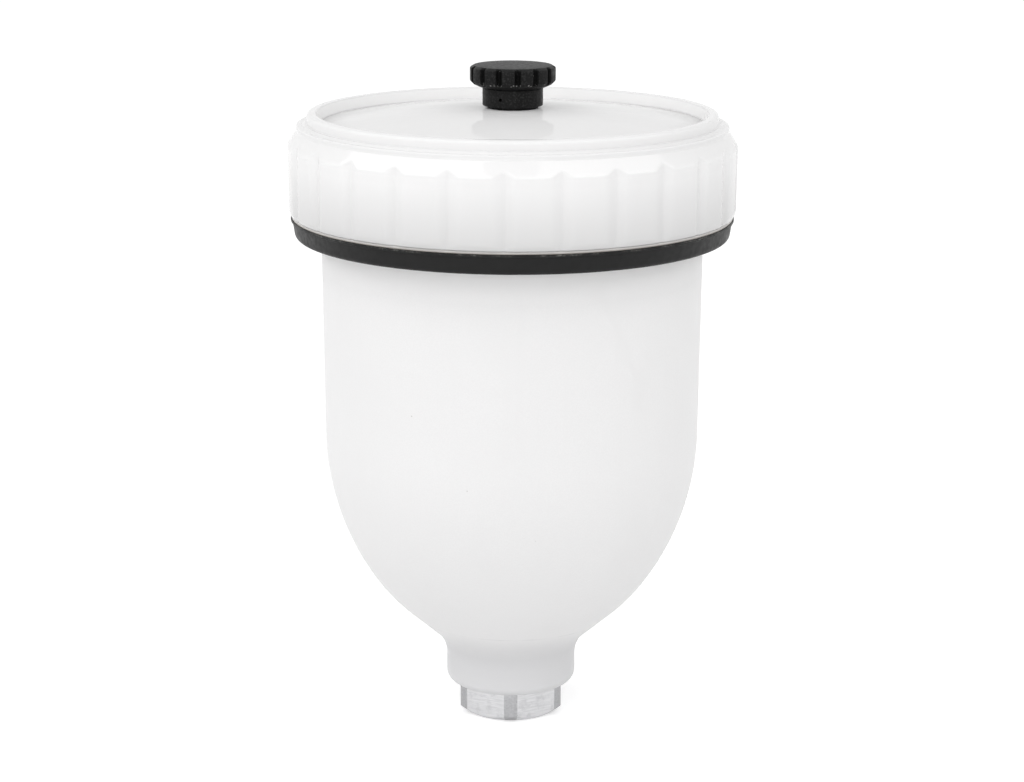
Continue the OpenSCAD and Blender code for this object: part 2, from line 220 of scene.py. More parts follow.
class Finish:
    """A procedural material round one Principled shader, with short calls for its nodes."""

    def __init__(self, name, **settings):
        self.material = bpy.data.materials.new(name)
        self.material.use_nodes = True
        self.nodes = self.material.node_tree.nodes
        self.links = self.material.node_tree.links
        self.shader = self.nodes["Principled BSDF"]
        self.bumps = None
        for socket, value in settings.items():
            self.shader.inputs[socket.replace("_", " ")].default_value = value
        self.place = self.node("ShaderNodeTexCoord").outputs["Object"]

    def node(self, kind, inputs=None, **settings):
        """New node. inputs holds sockets to link or numbers to set, and settings its properties."""
        made = self.nodes.new(kind)
        for name, value in settings.items():
            setattr(made, name, value)
        for socket, value in (inputs or {}).items():
            if isinstance(value, bpy.types.NodeSocket):
                self.links.new(value, made.inputs[socket])
            else:
                made.inputs[socket].default_value = value
        return made

    def stretched(self, x, y, z):
        """Object coordinates scaled by axis, so that a pattern can run along or round the piece."""
        return self.node("ShaderNodeMapping", {"Vector": self.place, "Scale": (x, y, z)}).outputs["Vector"]

    def noise(self, size, detail=3.0, vector=None, roughness=0.5, distortion=0.0):
        """Noise whose features are about size millimetres wide, from 0 to 1."""
        return self.node("ShaderNodeTexNoise", {
            "Vector": vector or self.place, "Scale": 1 / (size * MM), "Detail": detail,
            "Roughness": roughness, "Distortion": distortion}).outputs["Fac"]

    def specks(self, size, share, vector=None):
        """Small round specks, size millimetres apart. share is how large each is, from 0 to 1."""
        inputs = {"Vector": vector or self.place, "Scale": 1 / (size * MM)}
        cells = self.node("ShaderNodeTexVoronoi", inputs)
        return self.span(cells.outputs["Distance"], share, share * 0.5)

    def span(self, value, low, high, to_low=0.0, to_high=1.0):
        """value moved from one span to another and held inside it."""
        inputs = {"Value": value, "From Min": low, "From Max": high, "To Min": to_low, "To Max": to_high}
        return self.node("ShaderNodeMapRange", inputs).outputs["Result"]

    def math(self, operation, a, b=0.0):
        """Result of a math node on one or two values."""
        return self.node("ShaderNodeMath", {0: a, 1: b}, operation=operation).outputs["Value"]

    def height(self):
        """The point's height, in metres."""
        return self.node("ShaderNodeSeparateXYZ", {"Vector": self.place}).outputs["Z"]

    def radius(self):
        """The point's distance from the upright axis, in metres."""
        level = self.stretched(1.0, 1.0, 0.0)
        return self.node("ShaderNodeVectorMath", {0: level}, operation="LENGTH").outputs["Value"]

    def blend(self, factor, a, b):
        """Colour between two colours."""
        made = self.node("ShaderNodeMix", data_type="RGBA")
        for socket, value in (("Factor_Float", factor), ("A_Color", a), ("B_Color", b)):
            target = next(s for s in made.inputs if s.identifier == socket)
            if isinstance(value, bpy.types.NodeSocket):
                self.links.new(value, target)
            else:
                target.default_value = value if socket == "Factor_Float" else (*value, 1.0)
        return next(s for s in made.outputs if s.identifier == "Result_Color")

    def set(self, socket, value):
        """Links a value to one of the shader's sockets."""
        self.links.new(value, self.shader.inputs[socket])

    def bump(self, height, distance, strength=1.0):
        """Adds a layer of bump. distance is its depth in millimetres."""
        inputs = {"Height": height, "Distance": distance * MM, "Strength": strength}
        if self.bumps is not None:
            inputs["Normal"] = self.bumps
        self.bumps = self.node("ShaderNodeBump", inputs).outputs["Normal"]
        self.set("Normal", self.bumps)


def milky(made, size, pale, deep):
    """Clouded white of milky plastic, with faint upright flow marks and a few specks of dust."""
    cloud = made.noise(size, 2.0)
    tone = made.blend(made.span(cloud, 0.35, 0.7), pale, deep)
    flow = made.noise(5.0, 3.0, made.stretched(1.0, 1.0, 0.12), distortion=0.6)
    tone = made.blend(made.span(flow, 0.5, 0.8, 0.0, 0.3), tone, tuple(0.96 * c for c in pale))
    dust = made.math("MULTIPLY", made.specks(6.0, 0.035), made.span(made.noise(17.0), 0.5, 0.6))
    return made.blend(made.math("MULTIPLY", dust, 0.55), tone, (0.34, 0.32, 0.30))


def level_tone(made, tone, start_z, end_z, end_tone):
    """Moves a colour to end_tone on the way from one height to another, in millimetres."""
    return made.blend(made.span(made.height(), start_z * MM, end_z * MM), tone, end_tone)


def milky_shader(name, depth, gloss_level):
    """Plastic that light enters a little way. depth is the share of light that does."""
    return Finish(name, IOR=1.5, Specular_IOR_Level=gloss_level, Subsurface_Weight=depth,
                  Subsurface_Scale=0.004, Subsurface_Radius=(1, 1, 1))


def scuffed(made, smooth, rough):
    """Roughness with faint upright scuffs, between two values."""
    return made.span(made.noise(1.2, 4.0, made.stretched(1.0, 1.0, 0.18)), 0.3, 0.75, smooth, rough)


def near_level(made, z, inner, outer):
    """1 within inner millimetres of a height, falling to 0 at outer millimetres."""
    away = made.math("ABSOLUTE", made.math("SUBTRACT", made.height(), z * MM))
    return made.span(away, outer * MM, inner * MM)


def lid_finish():
    """Milky plastic, glossiest on the chamfer and matter on the disc and the rim. It carries painted shade
    low on the side, on the chamfer, round the shoulder, on the rim's top and across the disc, and painted
    light on the rim's inner wall and round the disc's middle.
    """
    made = milky_shader("lid_plastic", 0.15, 0.5)
    tone = milky(made, 28.0, (0.83, 0.827, 0.8275), (0.81, 0.807, 0.8075))
    # Painted shade: the side darkens towards its lower edge, above the black ring
    tone = level_tone(made, tone, SIDE_SHADE_TOP_Z, SIDE_SHADE_Z, (0.655, 0.652, 0.652))
    # Painted shade on the chamfer, which faces up towards the lamps
    tone = level_tone(made, tone, CHAMFER_FOOT_Z, CHAMFER_SHADE_Z, (0.79, 0.787, 0.7875))
    # Painted shade in a band round the shoulder and the step
    tone = made.blend(near_level(made, SHOULDER_Z, 0.6, 1.0), tone, (0.765, 0.762, 0.7625))
    # Painted light: the rim's inner wall is paler, as if lit from the front
    inner_wall_light = made.span(made.radius(), (RIM_INNER_R + 1.0) * MM, (RIM_INNER_R + 0.6) * MM)
    tone = made.blend(inner_wall_light, tone, (0.85, 0.847, 0.846))
    # Painted shade on the rim's top
    tone = level_tone(made, tone, RIM_Z - 0.5, RIM_Z - 0.1, (0.74, 0.737, 0.7375))
    disc = made.span(made.radius(), (RIM_INNER_R + 0.1) * MM, (RIM_INNER_R - 0.05) * MM)
    # Painted shade: the disc is darker than the side, and darkest towards its edge
    disc_edge_shade = made.span(made.radius(), DISC_SHADE_R * MM, RIM_INNER_R * MM)
    disc_shade_and_light = made.blend(disc_edge_shade, (0.73, 0.727, 0.7275), (0.625, 0.622, 0.6225))
    # Painted light: the disc is paler round the knob's foot, where its shade would fall
    centre_light = made.span(made.radius(), DISC_LIGHT_EDGE_R * MM, DISC_LIGHT_R * MM)
    disc_shade_and_light = made.blend(centre_light, disc_shade_and_light, (0.80, 0.797, 0.7975))
    made.set("Base Color", made.blend(disc, tone, disc_shade_and_light))
    polish = near_level(made, (CHAMFER_Z + CHAMFER_TOP_Z) / 2, 2.2, 2.6)
    gloss = made.span(polish, 0, 1, 0.12, 0.45)
    high = made.span(made.height(), (SHOULDER_Z + 0.1) * MM, (SHOULDER_Z + STEP_H) * MM, 0.45, 0.08)
    disc_gloss = made.span(made.radius(), DISC_GLOSS_R * MM, DISC_DULL_R * MM, 0.014, 0.002)
    disc_gloss = made.math("MAXIMUM", disc_gloss, made.span(disc, 0, 1, 0.5, 0.0))
    made.set("Specular IOR Level", made.math("MINIMUM", made.math("MINIMUM", gloss, high), disc_gloss))
    scuffs = made.math("MULTIPLY", scuffed(made, 0.02, 0.06), made.span(disc, 0, 1, 1.0, 0.2))
    shiny = made.math("MAXIMUM", polish, disc)
    made.set("Roughness", made.math("ADD", scuffs, made.span(shiny, 0, 1, 0.1, 0.0)))
    made.bump(made.noise(9.0, 2.0), 0.06)
    return made.material


def run_mark(made):
    """Mask of a faint run of paint that slants down the cup to the right of its middle."""
    flat = made.node("ShaderNodeSeparateXYZ", {"Vector": made.place})
    angle = made.math("ARCTAN2", flat.outputs["X"], made.math("MULTIPLY", flat.outputs["Y"], -1.0))
    path = made.span(flat.outputs["Z"], RUN_TOP_Z * MM, RUN_FOOT_Z * MM, math.radians(25), math.radians(40))
    away = made.math("ABSOLUTE", made.math("SUBTRACT", angle, path))
    width = made.span(made.noise(6.0, 2.0), 0.3, 0.7, math.radians(1.5), math.radians(6.0))
    inside = made.span(made.math("DIVIDE", away, width), 1.0, 0.2)
    return made.math("MULTIPLY", inside, made.span(flat.outputs["Z"], RUN_END_Z * MM, (RUN_END_Z + 3) * MM))


def cup_finish():
    """Satin milky plastic: greyer at the solid neck, with painted light under the black ring and painted
    warm shade on the flange.
    """
    made = milky_shader("cup_plastic", 0.4, 0.15)
    tone = milky(made, 24.0, (0.842, 0.838, 0.8385), (0.828, 0.824, 0.8245))
    tone = made.blend(made.span(made.noise(0.35, 1.0), 0.4, 0.6, 0.0, 0.6), tone, (0.815, 0.81, 0.813))
    tone = made.blend(made.math("MULTIPLY", run_mark(made), 0.5), tone, (0.81, 0.805, 0.806))
    # Painted light: the wall is paler just under the black ring, where the ring's shade falls
    tone = level_tone(made, tone, CUP_LIGHT_FOOT_Z, CUP_LIGHT_Z, (0.97, 0.966, 0.966))
    tone = level_tone(made, tone, NECK_TONE_TOP_Z, FLOOR_Z, (0.68, 0.679, 0.688))
    seam = made.math("MULTIPLY", near_level(made, SEAM_Z, 0.1, 0.3),
                     made.span(made.noise(7.0), 0.4, 0.6, 0.0, 0.4))
    tone = made.blend(seam, tone, (0.65, 0.648, 0.655))
    # Painted shade: the flange in the gap between the lid and the black ring is warm beige, and darker
    # brown at its lower edge
    flange_shade = near_level(made, FLANGE_SHADE_Z, 0.4, 0.5)
    tone = made.blend(flange_shade, tone, (0.64, 0.62, 0.60))
    lower = made.math("MULTIPLY", flange_shade, made.span(made.height(), FLANGE_SHADE_Z * MM, (FLANGE_SHADE_Z - 0.25) * MM))
    made.set("Base Color", made.blend(lower, tone, (0.37, 0.34, 0.31)))
    made.set("Roughness", scuffed(made, 0.36, 0.48))
    made.bump(made.noise(0.22, 2.0), 0.006)
    made.bump(made.noise(14.0, 2.0, made.stretched(1.0, 1.0, 0.35)), 0.06)
    return made.material


def rubber_finish():
    """Black rubber with a broken pale line of dust along its upper lip, and a few specks."""
    made = Finish("black_rubber", IOR=1.5, Specular_IOR_Level=0.18)
    line = near_level(made, FLANGE_Z - 0.2, 0.12, 0.3)
    broken = made.math("MULTIPLY", made.span(made.noise(5.0, 3.0), 0.45, 0.65),
                       made.span(made.noise(0.5, 2.0), 0.42, 0.62))
    stray = made.math("MULTIPLY", made.specks(2.6, 0.05), made.span(made.noise(9.0), 0.5, 0.6))
    base = made.blend(made.noise(2.5, 4.0), (0.007, 0.007, 0.007), (0.012, 0.012, 0.012))
    dusty = made.math("MAXIMUM", made.math("MULTIPLY", line, broken), stray)
    made.set("Base Color", made.blend(dusty, base, (0.13, 0.127, 0.12)))
    made.set("Roughness", made.span(made.noise(1.5, 4.0), 0.3, 0.7, 0.4, 0.58))
    made.bump(made.noise(0.3, 3.0), 0.01)
    return made.material


def black_finish():
    """Black moulded plastic with a fine grain, painted shade in the knob's grooves, and dust at their feet.
    """
    made = Finish("black_plastic", IOR=1.5)
    base = made.blend(made.noise(3.0, 4.0), (0.004, 0.004, 0.004), (0.012, 0.012, 0.012))
    base = made.blend(made.span(made.noise(0.45, 3.0), 0.5, 0.75), base, (0.03, 0.03, 0.03))
    flat = made.node("ShaderNodeSeparateXYZ", {"Vector": made.place})
    angle = made.math("ARCTAN2", flat.outputs["Y"], flat.outputs["X"])
    turn = math.radians(90 - KNOB_GROOVE_TURN)
    from_groove = made.math("PINGPONG", made.math("ADD", angle, turn), math.pi / KNOB_GROOVES)
    groove = made.span(from_groove, math.radians(5.0), math.radians(3.2))
    side = made.span(made.radius(), (KNOB_R - 0.95) * MM, (KNOB_R - 0.8) * MM)
    groove = made.math("MULTIPLY", made.math("MULTIPLY", groove, side),
                       near_level(made, HEAD_Z + HEAD_H / 2 + 0.4, HEAD_H / 2 - 0.9, HEAD_H / 2 - 0.6))
    # Painted shade in the knob's grooves
    base = made.blend(made.math("MULTIPLY", groove, 0.7), base, (0.002, 0.002, 0.002))
    stray = made.math("MULTIPLY", made.specks(1.6, 0.07), made.span(made.noise(4.0), 0.5, 0.62))
    foot = made.math("MULTIPLY", near_level(made, HEAD_Z + 1.35, 0.12, 0.4), made.specks(0.7, 0.4))
    foot = made.math("MULTIPLY", foot, made.span(made.noise(1.6), 0.48, 0.58))
    made.set("Base Color", made.blend(made.math("MAXIMUM", stray, foot), base, (0.24, 0.235, 0.23)))
    made.set("Specular IOR Level", made.span(groove, 0, 1, 0.1, 0.02))
    made.set("Roughness", made.span(made.noise(1.0, 4.0), 0.3, 0.7, 0.38, 0.55))
    made.bump(made.noise(0.35, 3.0), 0.02)
    return made.material


def aluminium_finish():
    """Machined aluminium: level cutter marks, dull blotches and pits, and a painted dark reflection on the
    turned corners.
    """
    made = Finish("aluminium", Metallic=1.0)
    marks = made.noise(0.35, 5.0, made.stretched(0.08, 0.08, 1.0), 0.65)
    patches = made.noise(2.4, 5.0, roughness=0.65)
    tone = made.blend(made.span(marks, 0.3, 0.7), (0.52, 0.52, 0.53), (0.68, 0.68, 0.69))
    tone = made.blend(made.span(patches, 0.5, 0.66, 0.0, 0.55), tone, (0.45, 0.45, 0.465))
    # Painted reflection: the turned corners are darker, as if they mirrored a darker surround, with a fine
    # grain
    flat = made.node("ShaderNodeSeparateXYZ", {"Vector": made.place})
    angle = made.math("ARCTAN2", flat.outputs["Y"], flat.outputs["X"])
    from_corner = made.math("PINGPONG", made.math("ADD", angle, math.pi / 2), math.pi / 6)
    corner = made.span(from_corner, math.radians(7.3), math.radians(6.7))
    grain = made.span(made.noise(0.5, 3.0), 0.35, 0.65)
    corner_reflection_tone = made.blend(grain, (0.33, 0.33, 0.34), (0.40, 0.40, 0.41))
    tone = made.blend(made.math("MULTIPLY", corner, 0.9), tone, corner_reflection_tone)
    pits = made.math("MULTIPLY", made.specks(1.5, 0.09), made.span(made.noise(4.0), 0.5, 0.6))
    made.set("Base Color", made.blend(made.math("MULTIPLY", pits, 0.7), tone, (0.12, 0.12, 0.125)))
    made.set("Roughness", made.span(made.math("ADD", marks, patches), 0.6, 1.4, 0.3, 0.5))
    made.bump(marks, 0.012)
    return made.material


def nylon_finish():
    """Pale nylon of the gasket and the washer."""
    made = Finish("nylon", Roughness=0.5, IOR=1.5)
    made.set("Base Color", made.blend(made.noise(2.0, 3.0), (0.70, 0.66, 0.58), (0.76, 0.73, 0.66)))
    made.bump(made.noise(0.3, 2.0), 0.01)
    return made.material


def strainer_finish():
    """Pale plastic of the strainer's frame, with a faint grain."""
    made = Finish("strainer_plastic", IOR=1.5)
    made.set("Base Color", made.blend(made.noise(5.0, 3.0), (0.74, 0.75, 0.76), (0.80, 0.80, 0.80)))
    made.set("Roughness", made.span(made.noise(1.5, 3.0), 0.3, 0.7, 0.34, 0.5))
    made.bump(made.noise(0.4, 2.0), 0.01)
    return made.material


def wire_finish():
    """Pale nylon threads of the strainer's mesh."""
    made = Finish("mesh", IOR=1.5)
    made.set("Base Color", made.blend(made.noise(1.0, 3.0), (0.60, 0.62, 0.64), (0.72, 0.73, 0.74)))
    made.set("Roughness", made.span(made.noise(0.5, 3.0), 0.3, 0.7, 0.3, 0.5))
    return made.material


FINISH = {"lid_plastic": lid_finish(), "cup_plastic": cup_finish(), "black_rubber": rubber_finish(),
          "black_plastic": black_finish(), "aluminium": aluminium_finish(), "nylon": nylon_finish(),
          "strainer_plastic": strainer_finish(), "mesh": wire_finish()}


def dress(piece, body, slot, *nodes):
    """Gives a piece its finish and its body, and lets it stand for the CAD nodes named."""
    piece.data.materials.clear()
    piece.data.materials.append(FINISH[slot])
    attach(piece, body)
    if nodes:
        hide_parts(*nodes)


# Cup

def bowl_side(inset):
    """Side of the bowl from the neck's fillet up to the straight wall, moved inwards by inset."""
    turn, slope = math.radians(BOWL_ARC_TURN), math.radians(CONE_SLOPE)
    arc_x = WALL_LOW_R - BOWL_ARC_R
    joint_x = arc_x + BOWL_ARC_R * math.cos(turn)
    joint_z = BOWL_TOP_Z - BOWL_ARC_R * math.sin(turn)
    low_x = joint_x - LOW_ARC_R * math.cos(turn)
    low_z = joint_z + LOW_ARC_R * math.sin(turn)
    cone_x = low_x + LOW_ARC_R * math.cos(slope)
    cone_z = low_z - LOW_ARC_R * math.sin(slope)
    fillet_x = NECK_R + FILLET_R
    fillet_end_x = fillet_x - FILLET_R * math.cos(slope)
    fillet_z = cone_z - (cone_x - fillet_end_x) / math.tan(slope) - FILLET_R * math.sin(slope)
    return (arc(fillet_x, fillet_z, FILLET_R + inset, 180, 180 - CONE_SLOPE, 12)
            + arc(low_x, low_z, LOW_ARC_R - inset, -CONE_SLOPE, -BOWL_ARC_TURN, 12)
            + arc(arc_x, BOWL_TOP_Z, BOWL_ARC_R - inset, -BOWL_ARC_TURN, 0, 24))


def cup_shell():
    """Neck, bowl, wall, flange and collar as one shell, with a hole in the neck for the fitting."""
    outside = eased(
        [(FITTING_SHANK_R, NECK_Z), (NECK_R - NECK_EDGE_R, NECK_Z)]
        + arc(NECK_R - NECK_EDGE_R, NECK_Z + NECK_EDGE_R, NECK_EDGE_R, -90, 0, 10)
        + bowl_side(0)
        + [(WALL_TOP_R, RING_Z), (WALL_TOP_R, FLANGE_Z), (FLANGE_R, FLANGE_Z, 0.12),
           (FLANGE_R, FLANGE_TOP_Z, 0.2), (COLLAR_WALL_R, FLANGE_TOP_Z, 0.4),
           (COLLAR_WALL_R, MOUTH_Z, 0.6)],
        closed=False)
    top = eased(
        [(COLLAR_WALL_R, MOUTH_Z - 1), (COLLAR_WALL_R, MOUTH_Z, 0.6), (COLLAR_INNER_R, MOUTH_Z, 0.6),
         (COLLAR_INNER_R, FLANGE_Z + 3.2, 1.0), (WALL_TOP_R - WALL_T, FLANGE_Z + 0.2, 1.0),
         (WALL_TOP_R - WALL_T, RING_Z)], closed=False)[1:-1]
    inner = [p for p in bowl_side(WALL_T)[::-1] if p[1] > FLOOR_Z + 0.1]
    floor = eased([inner[-1], (NECK_R - WALL_T, FLOOR_Z, 0.5), (FITTING_SHANK_R, FLOOR_Z),
                   (FITTING_SHANK_R, NECK_Z)], closed=False)[1:-1]
    section = outside[:-1] + top + inner + floor
    return ring_object("cup_shell", turned(section, 288), closed=True)


cup_rib_z = MOUTH_Z - RIB_BELOW_MOUTH - LEAD * THREAD_TURNS - RIB_ROOT_W / 2
cup_rib_root_r = COLLAR_WALL_R - RIB_BITE
lid_rib_root_r = LID_INNER_R + RIB_BITE
rib_meet_r = (CUP_RIB_R + LID_RIB_R) / 2


def rib_half_w(r, root_r, crest_r):
    """Half the height of a thread's rib at a radius between its root and its crest."""
    return (RIB_ROOT_W - (RIB_ROOT_W - RIB_CREST_W) * (r - root_r) / (crest_r - root_r)) / 2


# The lid's rib runs below the cup's, with a gap between the flanks where the two pass each other
rib_drop = (rib_half_w(rib_meet_r, cup_rib_root_r, CUP_RIB_R)
            + rib_half_w(rib_meet_r, lid_rib_root_r, LID_RIB_R) + RIB_FLANK_GAP)
lid_rib_z = cup_rib_z - rib_drop + LEAD * LID_RIB_TURN / 360

dress(cup_shell(), "cup", "cup_plastic", "cup_body")
dress(rib_object("cup_thread", cup_rib_root_r, CUP_RIB_R, cup_rib_z, 0.0), "cup", "cup_plastic")

lip_z = FLANGE_Z - RING_LIP_H
seal_section = eased(
    [(WALL_TOP_R, RING_Z, 0.3), (RING_LOW_R, RING_Z, 1.3), (RING_BODY_R, lip_z - 0.15, 0.1),
     (RING_LIP_R, lip_z, 0.12), (RING_LIP_R, FLANGE_Z, 0.15), (WALL_TOP_R, FLANGE_Z)])
dress(ring_object("black_ring", turned(seal_section, 288), closed=True), "cup", "black_rubber", "seal_ring")


# Lid

def lid_angles():
    """Angles of the lid's columns, closer together at each groove's edges and floor."""
    steps = [0.0, 0.15, 0.35, 0.7, 1.3, 1.9, 2.3, 2.5, 2.65, 2.8, 3.0, 3.4, 4.2, 5.4]
    offsets = sorted([-s for s in steps[1:]] + steps + [math.pi * LID_R / FLUTES])
    angles, phases = [], []
    for i in range(FLUTES):
        middle = math.radians(-90 + FLUTE_TURN + i * 360 / FLUTES)
        for offset in offsets:
            angles.append(middle + offset / LID_R)
            phases.append(offset / LID_R)
    return np.array(angles), np.array(phases)


def lid_shell():
    """Fluted side, chamfer, shoulder, rim and domed disc, with the hollow underneath."""
    angles, phases = lid_angles()
    slope = FLUTE_DEPTH / (FLUTE_HALF_W - FLUTE_FLOOR)
    across = np.sqrt(np.sin(phases) ** 2 + (FLUTE_FLOOR / LID_R) ** 2)
    groove_r = (LID_R - FLUTE_DEPTH * (1 + FLUTE_FLOOR / FLUTE_HALF_W)) / (np.cos(phases) - slope * across)
    chamfer = (LID_R - SHOULDER_R) / (CHAMFER_TOP_Z - CHAMFER_Z)
    flare = (LID_R - LID_BOTTOM_R) / (CHAMFER_Z - LID_Z - LID_EDGE_H)
    # Height at which the side meets the chamfer at each angle. It is highest over a groove.
    meet_z = CHAMFER_Z + np.maximum(0, LID_R - groove_r) / chamfer

    def side(z):
        """Ring of the fluted side at the heights z."""
        z = np.broadcast_to(z, angles.shape)
        wall = LID_BOTTOM_R + flare * (z - LID_Z - LID_EDGE_H)
        edge = LID_BOTTOM_R - 0.3 + 0.3 * (z - LID_Z) / LID_EDGE_H
        slant = LID_R - chamfer * (z - CHAMFER_Z)
        body = soft_min(soft_min(wall, slant, 0.12), edge, 0.05)
        return ring(angles, soft_min(body, groove_r, 0.32), z)

    base_z = FLANGE_TOP_Z + LID_EDGE_GAP
    bottom = side(base_z)
    rings = [ring(angles, LID_INNER_R + 0.8, base_z)]
    # The lower edge is rounded, and the rings above it are close together where the side meets the chamfer
    for inward, up in ((0.5, 0.0), (0.22, 0.03), (0.06, 0.14)):
        edge = bottom.copy()
        edge[:, :2] *= 1 - inward / LID_BOTTOM_R
        edge[:, 2] += up
        rings.append(edge)
    rings += [side(z) for z in (base_z + 0.35, LID_Z + LID_EDGE_H - 0.1, LID_Z + LID_EDGE_H + 0.1)]
    start = LID_Z + 2
    for share in (0.0, 0.3, 0.6, 0.85):
        rings.append(side(start + (meet_z - 0.8 - start) * share))
    for offset in (-0.8, -0.35, -0.18, -0.07, 0.03, 0.12, 0.3):
        rings.append(side(meet_z + offset))
    for share in (0.35, 0.7, 0.93):
        rings.append(side(meet_z + 0.3 + (CHAMFER_TOP_Z - meet_z - 0.3) * share))
    dome_rise = DOME_Z - DOME_EDGE_Z
    dome_r = (RIM_INNER_R ** 2 + dome_rise ** 2) / (2 * dome_rise)

    def dome(r, down):
        """Point of the disc at a radius, or of its underside at a depth below it."""
        return r, DOME_Z - dome_r + math.sqrt((dome_r - down) ** 2 - r * r)

    top = eased(
        [(LID_R, CHAMFER_Z), (SHOULDER_R, CHAMFER_TOP_Z, 0.3), (SHOULDER_R, SHOULDER_Z, 0.35),
         (STEP_R + STEP_SLANT, SHOULDER_Z, 0.5), (STEP_R - STEP_SLANT, SHOULDER_Z + STEP_H, 0.5),
         (RIM_R, SHOULDER_Z + STEP_H, 0.35),
         (RIM_R, RIM_Z, RIM_ROUND), (RIM_INNER_R + RIM_DRAFT, RIM_Z, RIM_INNER_ROUND),
         (*dome(RIM_INNER_R, 0), 0.25)]
        + [dome(r, 0) for r in np.linspace(RIM_INNER_R - 1.5, DOME_FLAT_R + 1.5, 14)]
        + [(DOME_FLAT_R, VENT_Z, 1.0), (SHANK_HOLE_R, VENT_Z, 0.15),
           (SHANK_HOLE_R, VENT_Z - DOME_T - 0.1, 0.15)]
        + [dome(r, DOME_T) for r in np.linspace(8.0, RIM_INNER_R - 4, 8)]
        + [(RIM_INNER_R - DOME_T, CEILING_Z, 0.5), (CEILING_R, CEILING_Z, 0.5),
           (LID_INNER_R, CHAMFER_Z, 0.5), (LID_INNER_R, LID_Z + 1, 0.3), (LID_INNER_R + 0.8, base_z)],
        closed=False)[1:-1]
    rings += [ring(angles, r, z) for r, z in top]
    return ring_object("lid_shell", rings, closed=True, sharp=40.0)


dress(lid_shell(), "lid", "lid_plastic", "lid_cap")
dress(rib_object("lid_thread", lid_rib_root_r, LID_RIB_R, lid_rib_z, LID_RIB_TURN), "lid", "lid_plastic")


# Vent

def knob():
    """Grooved head with its stem, the groove for the O-ring and the tip that closes the vent."""
    per_groove = 18
    angles = even_angles(KNOB_GROOVES * per_groove)
    angles = angles + math.radians(-90 + KNOB_GROOVE_TURN)
    phase = (np.arange(len(angles)) % per_groove) / per_groove
    phase = np.where(phase > 0.5, phase - 1, phase) * FULL_TURN / KNOB_GROOVES
    middle_r = KNOB_R - 0.05
    reach = np.abs(np.sin(phase)) * middle_r
    inside = np.clip(KNOB_GROOVE_R ** 2 - reach ** 2, 0, None)
    groove_r = middle_r - np.sqrt(inside) + np.clip(reach - KNOB_GROOVE_R, 0, None) * 2
    top_z = HEAD_Z + HEAD_H
    section = eased(
        [(0.0, TIP_Z), (TIP_R, TIP_Z, 0.2), (STEM_R, TIP_Z + TIP_H, 0.3),
         (STEM_R, SEAL_Z - SEAL_HALF, 0.1), (SEAL_GROOVE_R, SEAL_Z - SEAL_HALF),
         (SEAL_GROOVE_R, SEAL_Z + SEAL_HALF), (STEM_R, SEAL_Z + SEAL_HALF, 0.1),
         (STEM_R, HEAD_Z), (COLLAR_R + 0.4, HEAD_Z, 0.2), (KNOB_R - KNOB_FOOT_W, HEAD_Z + KNOB_FOOT_H, 0.4),
         (KNOB_R, HEAD_Z + KNOB_FOOT_H + KNOB_ROUND, 0.4), (KNOB_R, top_z - KNOB_RIM_H, 0.35),
         (KNOB_R - KNOB_RIM_W, top_z, 0.25), (4.0, top_z - 0.03), (0.0, top_z - 0.05)], closed=False)
    rings = []
    for r, z in section:
        if r < 1e-6:
            rings.append(np.array([[0.0, 0.0, z]]))
        elif z > HEAD_Z + 0.01:
            rings.append(ring(angles, soft_min(np.full(angles.shape, r), groove_r, 0.12), z))
        else:
            rings.append(ring(angles, r, z))
    return ring_object("vent_knob_head", rings, closed=False, sharp=40.0)


def vent_collar():
    """Collar with its shank and two small air holes, cut by a boolean."""
    section = eased([(SHANK_R, SHANK_Z, 0.2), (SHANK_R, COLLAR_Z), (COLLAR_R, COLLAR_Z, 0.25),
                     (COLLAR_R, COLLAR_Z + COLLAR_H, 0.25), (VENT_BORE_R, COLLAR_Z + COLLAR_H, 0.2),
                     (VENT_BORE_R, THROAT_Z), (THROAT_R, THROAT_Z), (THROAT_R, SHANK_Z)])
    collar = ring_object("vent_collar", turned(section, 96), closed=True)
    cutters = bmesh.new()
    cutter_start, cutter_end = 1.0, COLLAR_R + 1
    middle = Matrix.Translation(((cutter_start + cutter_end) / 2 * MM, 0, (COLLAR_Z + AIR_HOLE_H) * MM))
    lying = Matrix.Rotation(math.pi / 2, 4, "Y")
    for side in (0, 180):
        turned_to = Matrix.Rotation(math.radians(-90 + AIR_HOLE_TURN + side), 4, "Z")
        bmesh.ops.create_cone(cutters, cap_ends=True, segments=24, radius1=AIR_HOLE_R * MM,
                              radius2=AIR_HOLE_R * MM, depth=(cutter_end - cutter_start) * MM,
                              matrix=turned_to @ middle @ lying)
    mesh = bpy.data.meshes.new("air_hole_cutters")
    cutters.to_mesh(mesh)
    cutters.free()
    cutter = bpy.data.objects.new("air_hole_cutters", mesh)
    bpy.context.scene.collection.objects.link(cutter)
    cut = collar.modifiers.new("air_holes", "BOOLEAN")
    cut.operation, cut.solver, cut.object = "DIFFERENCE", "EXACT", cutter
    bpy.context.view_layer.update()
    result = bpy.data.meshes.new_from_object(collar.evaluated_get(bpy.context.evaluated_depsgraph_get()))
    collar.modifiers.clear()
    collar.data = result
    collar.data.shade_smooth()
    collar.data.set_sharp_from_angle(angle=math.radians(35))
    bpy.data.objects.remove(cutter)
    return collar


dress(knob(), "knob", "black_plastic", "vent_knob")
dress(vent_collar(), "lid", "black_plastic", "vent_seat")
washer = eased([(SHANK_HOLE_R, VENT_Z, 0.1), (WASHER_R, VENT_Z, 0.15), (WASHER_R, VENT_Z + WASHER_H, 0.15),
                (SHANK_HOLE_R, VENT_Z + WASHER_H, 0.1)])
dress(ring_object("vent_step", turned(washer, 96), closed=True), "lid", "black_plastic", "vent_washer")


# Metal fitting

